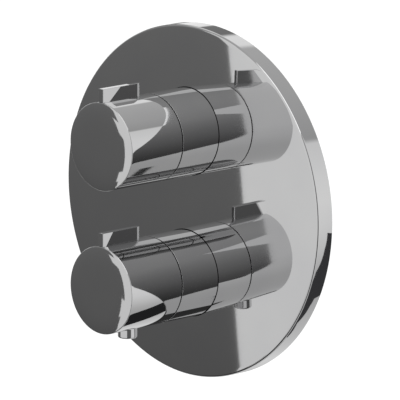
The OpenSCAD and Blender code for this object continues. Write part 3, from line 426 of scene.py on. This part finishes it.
def worked_finish(name, tones, patch_mm, roughness, metallic=0.0, patch_detail=2.0,
                  grain_mm=None, grain_stretch=None, depth_mm=None, wave_mm=None):
    """Two tones in patches and a grain for gloss and depth. Without a grain, the patches serve for it."""
    finish, tree, shader, place = new_finish(name, metallic)
    patches = add_node(tree, "ShaderNodeTexNoise",
                       {"Vector": place, "Scale": 1 / (patch_mm * mm), "Detail": patch_detail})
    share = add_node(tree, "ShaderNodeMapRange", {0: patches, 1: noise_low, 2: noise_high, 3: 0, 4: 1})
    tone = add_node(tree, "ShaderNodeMix",
                    {0: share, 6: linear(tones[0]), 7: linear(tones[1])}, data_type="RGBA")
    tree.links.new(tone.outputs[2], shader.inputs["Base Color"])
    grain = patches
    if grain_mm:
        along = place
        if grain_stretch:
            along = add_node(tree, "ShaderNodeMapping", {"Vector": place, "Scale": grain_stretch})
        grain = add_node(tree, "ShaderNodeTexNoise",
                         {"Vector": along, "Scale": 1 / (grain_mm * mm), "Detail": 2.0})
    gloss = add_node(tree, "ShaderNodeMapRange",
                     {0: grain, 1: noise_low, 2: noise_high, 3: roughness[0], 4: roughness[1]})
    tree.links.new(gloss.outputs[0], shader.inputs["Roughness"])
    if wave_mm:
        grain = add_node(tree, "ShaderNodeTexNoise",
                         {"Vector": place, "Scale": 1 / (wave_mm * mm), "Detail": 0.0})
    if depth_mm:
        dents = add_node(tree, "ShaderNodeBump",
                         {"Height": grain, "Distance": depth_mm * mm, "Strength": 1.0})
        tree.links.new(dents.outputs[0], shader.inputs["Normal"])
    print(name, "has", len(tree.nodes), "nodes")
    return finish


# %% [markdown]
# Polished chrome
#
# The plate, the sleeves, the handles, the tabs and the button are brass, ground, polished and plated
# with nickel and a thin layer of chromium. The finish is a mirror with a slightly cool tint. What
# makes it look like metal and not like glass is a trace of haze from fine polishing lines, and a very
# slight waviness about 9 mm across, left by the polishing wheel. The real lines are too fine to show,
# so they are drawn 0.6 mm apart.

# %% Chrome
polished_chrome = worked_finish("polished_chrome", ("#CDCDCE", "#D1D1D1"), 30, (0.018, 0.034), metallic=1.0,
                                grain_mm=0.6, grain_stretch=(1, 0.1, 1), depth_mm=0.0006, wave_mm=9)

# %% [markdown]
# Brass, steel and copper
#
# The valve body is a forging of yellow brass. Its outside keeps the fine, matt grain that blasting
# leaves, and dulls a little in patches. The cartridge nuts and spindles are turned from brass bar, and
# the tool leaves fine marks on them, drawn 0.4 mm apart so that they show. The springs, clips, screws
# and filters are stainless steel, drawn or ground. The wax element sits in a copper bulb that
# tarnishes.

# %% Hidden metals
blasted_brass = worked_finish("blasted_brass", ("#C8A662", "#A98749"), 14, (0.34, 0.52), metallic=1.0,
                              patch_detail=3.0, grain_mm=0.5, depth_mm=0.08)
turned_brass = worked_finish("turned_brass", ("#D6B56C", "#C7A45A"), 10, (0.18, 0.3), metallic=1.0,
                             grain_mm=0.4, grain_stretch=(0.05, 1, 0.05), depth_mm=0.01)
bright_steel = worked_finish("stainless_steel", ("#C9C9C6", "#B3B4B3"), 0.7, (0.2, 0.32), metallic=1.0,
                             patch_detail=3.0, depth_mm=0.004)
copper_bulb = worked_finish("copper_bulb", ("#C98A66", "#A5694A"), 4, (0.24, 0.4), metallic=1.0,
                            patch_detail=3.0)

# %% [markdown]
# Rubber, plastic and ceramic
#
# The rings are black EPDM rubber, satin where the mould was polished, with a faint grey bloom. The
# hubs, the thermostat's body, the collars and the check valves are moulded plastic with a fine
# spark-eroded grain, drawn at 0.35 mm, coarser than it is, so that it shows. The discs are white
# alumina, lapped until they shine.

# %% Rubber, plastic and ceramic
black_rubber = worked_finish("epdm_rubber", ("#1B1B1D", "#262628"), 2.5, (0.5, 0.66), patch_detail=3.0)
white_ceramic = worked_finish("alumina_ceramic", ("#F3F1EC", "#E9E6DF"), 0.8, (0.12, 0.22), patch_detail=3.0)
moulded = {}
for name, tones in (
    ("acetal_ivory", ("#E6E2D6", "#DDD8CA")),
    ("glass_filled_grey", ("#8C8F93", "#7D8084")),
    ("moulded_dark", ("#2E3033", "#3A3C40")),
):
    moulded[name] = worked_finish(name, tones, 8, (0.38, 0.5), grain_mm=0.35, depth_mm=0.012)

# %% [markdown]
# Closed-cell foam
#
# The gasket between the plate's rim and the tiles is grey foam with cells 0.7 mm across. Each cell is
# deeper in its middle than at its walls, and is painted darker there as shade in the pit, so one pattern
# gives both the painted shade and the dents.

# %% Foam
cell_mm = 0.7
cell_depth_mm = 0.15
cell_foam, foam_tree, foam_shader, foam_place = new_finish("closed_cell_foam", 0.0)
foam_shader.inputs["Roughness"].default_value = 0.9
cells = add_node(foam_tree, "ShaderNodeTexVoronoi", {"Vector": foam_place, "Scale": 1 / (cell_mm * mm)})
cell_middle = cells.outputs["Distance"]
# Painted shade: the grey is darker towards each cell's middle, where the pit is deepest
foam_colour_with_pit_shade = add_node(foam_tree, "ShaderNodeMix",
                     {0: cell_middle, 6: linear("#3B3C3F"), 7: linear("#55565A")}, data_type="RGBA")
foam_tree.links.new(foam_colour_with_pit_shade.outputs[2], foam_shader.inputs["Base Color"])
foam_dents = add_node(foam_tree, "ShaderNodeBump",
                      {"Height": cell_middle, "Distance": cell_depth_mm * mm, "Strength": 1.0})
foam_tree.links.new(foam_dents.outputs[0], foam_shader.inputs["Normal"])
print("closed_cell_foam has", len(foam_tree.nodes), "nodes")

# %% [markdown]
# Turned parts
#
# The plate, the sleeves and the handles are round, so each one is an outline spun about an axis, as
# on a lathe. The outline starts from a plane merged to one point, which is extruded from corner to
# corner. Sharp corners of the real parts are broken by a small radius: without it a mirror finish has
# no bright lines along its edges and looks like paper.

# %% Outline and spin
weld_mm = 0.002


def arc(radius, depth, corner_r, start, stop, steps):
    """Points of an arc in the outline's plane: centre at radius and depth, angles in degrees."""
    turns = [math.radians(start + (stop - start) * i / steps) for i in range(steps + 1)]
    return [(radius + corner_r * math.cos(a), depth + corner_r * math.sin(a)) for a in turns]


def start_piece(name):
    """The active primitive under its new name, in edit mode with everything selected."""
    piece = bpy.context.active_object
    piece.name = name
    piece.data.name = name
    bpy.ops.object.mode_set(mode="EDIT")
    bpy.ops.mesh.select_mode(type="VERT")
    bpy.ops.mesh.select_all(action="SELECT")
    return piece


def spin_outline(name, outline, axis_z=0.0, steps=192):
    """Spins a closed outline of (radius, depth) in millimetres about the Y axis at height axis_z."""
    bpy.ops.object.select_all(action="DESELECT")
    first = Vector((outline[0][0], outline[0][1], axis_z)) * mm
    bpy.ops.mesh.primitive_plane_add(size=mm, location=first)
    piece = start_piece(name)
    bpy.ops.mesh.merge(type="CENTER")
    for (r0, y0), (r1, y1) in zip(outline, outline[1:]):
        step = ((r1 - r0) * mm, (y1 - y0) * mm, 0)
        bpy.ops.mesh.extrude_region_move(TRANSFORM_OT_translate={"value": step})
    bpy.ops.mesh.select_all(action="SELECT")
    bpy.ops.mesh.remove_doubles(threshold=weld_mm * mm)
    bpy.ops.mesh.select_all(action="SELECT")
    bpy.ops.mesh.spin(steps=steps, angle=math.tau, center=(0, 0, axis_z * mm), axis=(0, 1, 0))
    bpy.ops.mesh.select_all(action="SELECT")
    bpy.ops.mesh.remove_doubles(threshold=weld_mm * mm)
    bpy.ops.mesh.normals_make_consistent(inside=False)
    bpy.ops.object.mode_set(mode="OBJECT")
    bpy.ops.object.transform_apply(location=True, rotation=True, scale=True)
    print(name, "spun:", len(piece.data.vertices), "points")
    return piece


# %% [markdown]
# Cutting and handing over
#
# Holes and slots are cut with a plain body that is thrown away afterwards. A finished piece gets
# smooth shading that stops at its edges, and normals weighted by area, so that flat faces mirror
# flat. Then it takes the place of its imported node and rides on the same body.

# %% Cut and hand over
smooth_angle = math.radians(32)


def cut(piece, cutter):
    """Takes the cutter's shape out of the piece."""
    bpy.context.view_layer.objects.active = piece
    saw = piece.modifiers.new("cut", "BOOLEAN")
    saw.operation = "DIFFERENCE"
    saw.solver = "EXACT"
    saw.object = cutter
    bpy.ops.object.modifier_apply(modifier="cut")
    bpy.data.objects.remove(cutter)


def drill(radius, centre, depth, direction):
    """A round cutter along a direction: radius, centre and depth in millimetres."""
    bpy.ops.object.select_all(action="DESELECT")
    drill_turn = Vector(direction).to_track_quat("Z", "Y").to_euler()
    bpy.ops.mesh.primitive_cylinder_add(vertices=128, radius=radius * mm, depth=depth * mm,
                                        location=Vector(centre) * mm, rotation=drill_turn)
    return bpy.context.active_object


def hand_over(piece, body, node):
    """Shades the finished chrome piece and sets it in place of its CAD node."""
    bpy.ops.object.select_all(action="DESELECT")
    piece.select_set(True)
    bpy.context.view_layer.objects.active = piece
    bpy.ops.object.shade_smooth_by_angle(angle=smooth_angle)
    even = piece.modifiers.new("even", "WEIGHTED_NORMAL")
    even.weight = 100
    even.keep_sharp = True
    bpy.ops.object.modifier_apply(modifier="even")
    piece.data.materials.clear()
    piece.data.materials.append(polished_chrome)
    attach(piece, body)
    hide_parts(node)
    print(piece.name, "has", len(piece.data.polygons), "faces and stands for", node)


# %% [markdown]
# The wall plate
#
# A disc 190 mm across, pressed from sheet brass, with a rim that turns back to the wall. Its front is
# not flat: it rises a little over 2 mm towards the middle, and the mirrored room bends there. The
# crown's curve is the same formula as in the mechanical model, here with the numbers that mirror the
# barrels as the photograph does. Two round holes let the sleeves through. Their radius is 0.35 mm
# larger than the sleeves', and the gap draws the dark joint line.

# %% Wall plate
plate_r = 95
rim_front = -11
rim_middle = -5
rim_corner_r = 1.2
rim_foot_r = 0.3
plate_wall = 1.5
crown_height = 2.2
crown_edge_share = 0.15
crown_rings = 60
inside_rings = 30
axis_gap = 77
hole_r = 23.85
hole_drill_y = -8
hole_drill_len = 30


def crown(r):
    """Depth of the plate's front face at a distance from its centre."""
    u = (r / plate_r) ** 2
    return rim_front - crown_height * (1 - u) * (1 + crown_edge_share * u)


def crown_slope(r, probe=0.01):
    """Slope of the plate's front face at a distance from its centre."""
    return (crown(r + probe) - crown(r - probe)) / (2 * probe)


rim_lean = math.atan(crown_slope(plate_r - rim_corner_r))
crown_end = plate_r - rim_corner_r * (1 - math.sin(rim_lean))
corner_depth = crown(crown_end) + rim_corner_r * math.cos(rim_lean)
inner_r = plate_r - plate_wall
plate_front = [(crown_end * i / crown_rings, crown(crown_end * i / crown_rings)) for i in range(crown_rings)]
plate_corner = arc(plate_r - rim_corner_r, corner_depth, rim_corner_r, -90 + math.degrees(rim_lean), 0, 8)
rim_foot = arc(plate_r - rim_foot_r, -rim_foot_r, rim_foot_r, 0, 90, 3)
plate_inside = [(inner_r * i / inside_rings, crown(inner_r * i / inside_rings) + plate_wall)
                for i in range(inside_rings, -1, -1)]
plate_rim = [(plate_r, rim_middle)] + rim_foot + [(inner_r, 0)]
plate_outline = plate_front + plate_corner + plate_rim + plate_inside
wall_plate = spin_outline("wall_plate", plate_outline)
for side in (1, -1):
    cut(wall_plate, drill(hole_r, (0, hole_drill_y, side * axis_gap / 2), hole_drill_len, (0, 1, 0)))
hand_over(wall_plate, "valve", "face_plate")

# %% [markdown]
# The sleeves
#
# Each handle turns in front of a fixed sleeve of the same 47 mm diameter, a brass tube turned to size
# and plated. Its front edge is broken by a tenth of a millimetre, which draws the fine line beside
# the dark joint.

# %% Sleeves
barrel_r = 23.5
sleeve_bore_r = 21.5
sleeve_front = -39
sleeve_back = 5
sleeve_rings = 10
edge_break = 0.1


def tube_steps(near, far, count):
    """Evenly spaced depths, so that the long side of a barrel has rings all along it."""
    return [near + (far - near) * i / count for i in range(1, count)]


def sleeve_outline():
    """Outline of a sleeve: broken front edge, outside, rear end and bore."""
    outer = arc(barrel_r - edge_break, sleeve_front + edge_break, edge_break, -90, 0, 4)
    side = [(barrel_r, y) for y in tube_steps(sleeve_front + edge_break, sleeve_back, sleeve_rings)]
    back = [(barrel_r, sleeve_back), (sleeve_bore_r, sleeve_back)]
    bore = arc(sleeve_bore_r + edge_break, sleeve_front + edge_break, edge_break, 180, 270, 4)
    return outer + side + back + bore + [outer[0]]


for name, node, side in (("upper_sleeve_tube", "upper_sleeve", 1), ("lower_sleeve_tube", "lower_sleeve", -1)):
    tube = spin_outline(name, sleeve_outline(), side * axis_gap / 2)
    hand_over(tube, "valve", node)

# %% [markdown]
# The handles
#
# A handle is a brass cap turned from bar. Its face looks flat, but towards the edge it falls away by
# a third of a millimetre, enough to bend the mirrored light panel into a bright crescent at the right
# of the face. A spigot at the rear runs inside the sleeve.

# %% Outline of a handle
handle_rear = -39.8
cap_front = -76.5
face_fall = 0.34
face_power = 4.5
face_rings = 28
ring_crowding = 0.8
cap_edge_r = 0.5
cap_rings = 18
handle_bore_r = 19.4
spigot_r = 21.2
spigot_back = -36.8
cap_wall = 3
face_end = barrel_r - cap_edge_r


def face_depth(r):
    """Depth of a handle's face at a distance from its axis."""
    return cap_front - face_fall * (1 - (r / face_end) ** face_power)


def handle_outline():
    """Outline of a handle: face, edge, outside, rear end, spigot and bore."""
    face_radii = [face_end * (i / face_rings) ** ring_crowding for i in range(face_rings)]
    face = [(r, face_depth(r)) for r in face_radii]
    lean = math.degrees(math.atan(face_fall * face_power / face_end))
    edge = arc(face_end, cap_front + cap_edge_r, cap_edge_r, -90 + lean, 0, 6)
    side = [(barrel_r, y) for y in tube_steps(cap_front + cap_edge_r, handle_rear - edge_break, cap_rings)]
    rear = arc(barrel_r - edge_break, handle_rear - edge_break, edge_break, 0, 90, 4)
    spigot = [(spigot_r, handle_rear), (spigot_r, spigot_back), (handle_bore_r, spigot_back)]
    bore = [(handle_bore_r, cap_front + cap_wall), (0, cap_front + cap_wall)]
    return face + edge + side + rear + spigot + bore


print("handle outline has", len(handle_outline()), "points")

# %% [markdown]
# Slot and holes of the handles
#
# Each spun handle gets a slot on top for the foot of its tab, and a hole for the grub screw that holds
# it on its hub. That hole is underneath on the upper handle, and down and to the left on the lower one,
# which has the safety button's hole underneath. They are cut after the spin, as a mill cuts them into
# a turned cap, because an outline can't have them.

# %% Handles
tab_half = 1.55
tab_len = 27
slot_gap = 0.1
slot_front = 1.4
slot_rear = 0.9
slot_over = 1
foot_depth = 2.4
drill_middle = 21
drill_len = 12
grub_y = -47.5
grub_hole_r = 2.1
button_y = -57
button_hole_r = 5.25


def box_cutter(low, high):
    """A block between two corners in millimetres, as a cutter."""
    low, high = Vector(low), Vector(high)
    bpy.ops.object.select_all(action="DESELECT")
    bpy.ops.mesh.primitive_cube_add(size=1, location=(low + high) / 2 * mm, scale=(high - low) * mm)
    return bpy.context.active_object


for name, body, node, side, grub_angle in (
    ("flow_handle_cap", "flow_control", "flow_handle", 1, 270),
    ("temperature_handle_cap", "temperature_control", "temperature_handle", -1, 225),
):
    axis_z = side * axis_gap / 2
    cap = spin_outline(name, handle_outline(), axis_z)
    slot_half = tab_half + slot_gap
    slot_floor = axis_z + barrel_r - foot_depth - slot_gap
    cut(cap, box_cutter((-slot_half, cap_front + slot_front, slot_floor),
                        (slot_half, cap_front + tab_len - slot_rear, axis_z + barrel_r + slot_over)))
    turn = math.radians(grub_angle)
    out = Vector((math.cos(turn), 0, math.sin(turn)))
    cut(cap, drill(grub_hole_r, Vector((0, grub_y, axis_z)) + out * drill_middle, drill_len, out))
    if side < 0:
        cut(cap, drill(button_hole_r, (0, button_y, axis_z - drill_middle), drill_len, (0, 0, 1)))
    hand_over(cap, body, node)

# %% [markdown]
# The finger tabs
#
# Each handle has a flat tab on top, 27 mm long and 7.3 mm high, flush with the handle's face. Both its
# sides stand 0.14 mm further out at the front and as much further in at the rear, which is the draft
# of a casting. Its foot is brazed into the slot, and its rear end tapers. A block is widened at the
# front and narrowed at the rear, cut across near both ends, squeezed at its end face and extruded down
# at its foot, and all edges are broken.

# %% Finger tabs
tab_height = 7.3
tab_draft = 0.14
tab_edge = 0.18
taper_len = 2.3
taper_depth = 0.5
foot_front = 1.5
foot_rear = 0.9
facing = 0.9
bevel_from = math.radians(40)


def select_faces(piece, test):
    """Selects the faces whose centre and normal pass the test, and nothing else; stays in edit mode."""
    bpy.ops.mesh.select_all(action="DESELECT")
    bpy.ops.mesh.select_mode(type="FACE")
    bpy.ops.object.mode_set(mode="OBJECT")
    for face in piece.data.polygons:
        face.select = test(piece.matrix_world @ face.center / mm, face.normal)
    bpy.ops.object.mode_set(mode="EDIT")


for name, body, node, side in (
    ("flow_finger_tab", "flow_control", "flow_tab", 1),
    ("temperature_finger_tab", "temperature_control", "temperature_tab", -1),
):
    base_z = side * axis_gap / 2 + barrel_r
    rear = cap_front + tab_len
    bpy.ops.object.select_all(action="DESELECT")
    bpy.ops.mesh.primitive_cube_add(
        size=1, location=Vector((0, (cap_front + rear) / 2, base_z + tab_height / 2)) * mm,
        scale=Vector((2 * tab_half, tab_len, tab_height)) * mm)
    bpy.ops.object.transform_apply(location=True, rotation=True, scale=True)
    tab = start_piece(name)
    for end, draft in ((-1, tab_draft), (1, -tab_draft)):
        select_faces(tab, lambda c, n, end=end: n.y * end > facing)
        bpy.ops.transform.resize(value=(1 + draft / tab_half, 1, 1), center_override=(0, 0, 0))
    for plane_y in (rear - taper_len, rear - foot_rear, cap_front + foot_front):
        bpy.ops.mesh.select_all(action="SELECT")
        bpy.ops.mesh.bisect(plane_co=(0, plane_y * mm, 0), plane_no=(0, 1, 0))
    select_faces(tab, lambda c, n: n.y > facing)
    squeeze = (tab_half - taper_depth) / tab_half
    bpy.ops.transform.resize(value=(squeeze, 1, 1), center_override=(0, rear * mm, base_z * mm))
    select_faces(tab, lambda c, n: n.z < -facing and cap_front + foot_front < c.y < rear - foot_rear)
    bpy.ops.mesh.extrude_region_move(TRANSFORM_OT_translate={"value": (0, 0, -foot_depth * mm)})
    bpy.ops.object.mode_set(mode="OBJECT")
    bevel = tab.modifiers.new("edge", "BEVEL")
    bevel.width = tab_edge * mm
    bevel.segments = 3
    bevel.limit_method = "ANGLE"
    bevel.angle_limit = bevel_from
    bpy.ops.object.modifier_apply(modifier="edge")
    hand_over(tab, body, node)

# %% [markdown]
# The safety button
#
# Pressing the small button under the temperature handle lets it turn past 38 degrees. It is a turned
# chrome cap 10.3 mm across with a rounded end and a flange inside the handle that keeps it from
# falling out. The outline is spun about the Y axis and then turned upright.

# %% Safety button
button_r = 5.15
button_end = 28.4
button_round = 1
button_flat_r = 2
button_ring = 5
flange_r = 6
flange_top = 18.148
flange_t = 1.4
flange_gap = 0.2
flange_low = button_end - flange_top - flange_gap
flange_high = flange_low + flange_t


def stand_up(piece, centre):
    """Turns a piece spun about the Y axis upright and moves it to its place in millimetres."""
    bpy.ops.object.mode_set(mode="EDIT")
    bpy.ops.mesh.select_all(action="SELECT")
    bpy.ops.transform.rotate(value=-math.pi / 2, orient_axis="X", center_override=(0, 0, 0))
    bpy.ops.transform.translate(value=Vector(centre) * mm)
    bpy.ops.object.mode_set(mode="OBJECT")


button_side = arc(button_r - button_round, button_round, button_round, -90, 0, 8) + [(button_r, button_ring)]
button_flange = [(button_r, flange_low), (flange_r, flange_low), (flange_r, flange_high), (0, flange_high)]
button_outline = [(0, 0), (button_flat_r, 0)] + button_side + button_flange
button_cap = spin_outline("safety_button_cap", button_outline, steps=96)
stand_up(button_cap, (0, button_y, -axis_gap / 2 - button_end))
hand_over(button_cap, "button", "safety_button")

# %% [markdown]
# Parts behind the wall
#
# The castings, cartridges, springs and seals are packed as the real solids, so they keep their shape
# and get their finish here.

# %% Finishes of the hidden parts
hidden_parts = [
    (blasted_brass, ["valve_body"]),
    (turned_brass, ["flow_cartridge_nut", "thermostat_nut", "flow_cartridge_body", "flow_spindle",
                    "temperature_spindle"]),
    (bright_steel, ["flow_grub_screw", "temperature_grub_screw", "button_latch", "button_spring",
                    "flow_spindle_clip", "temperature_spindle_clip", "overload_spring", "overload_cap",
                    "return_spring", "spring_seat", "shuttle", "cold_seat_ring", "hot_filter", "cold_filter",
                    "hot_check_spring", "cold_check_spring"]),
    (copper_bulb, ["wax_element"]),
    (cell_foam, ["wall_gasket"]),
    (black_rubber, ["plate_seals", "sleeve_seals", "flow_cartridge_seal", "flow_spindle_seals",
                    "flow_disc_seal", "thermostat_seals", "temperature_spindle_seals", "hot_check_poppet",
                    "cold_check_poppet"]),
    (moulded["moulded_dark"], ["upper_collar", "lower_collar"]),
    (moulded["acetal_ivory"], ["flow_hub", "temperature_hub", "temperature_stop_ring", "hot_check_body",
                               "cold_check_body"]),
    (moulded["glass_filled_grey"], ["thermostat_body", "thermostat_pusher"]),
    (white_ceramic, ["flow_moving_disc", "flow_fixed_disc"]),
]
dressed = []
for finish, nodes in hidden_parts:
    for node in nodes:
        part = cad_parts[node]
        part.data.materials.clear()
        part.data.materials.append(finish)
        dressed.append(node)
bare = [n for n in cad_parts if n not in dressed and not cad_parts[n].hide_render]
print("dressed", len(dressed), "hidden parts; still bare:", bare)
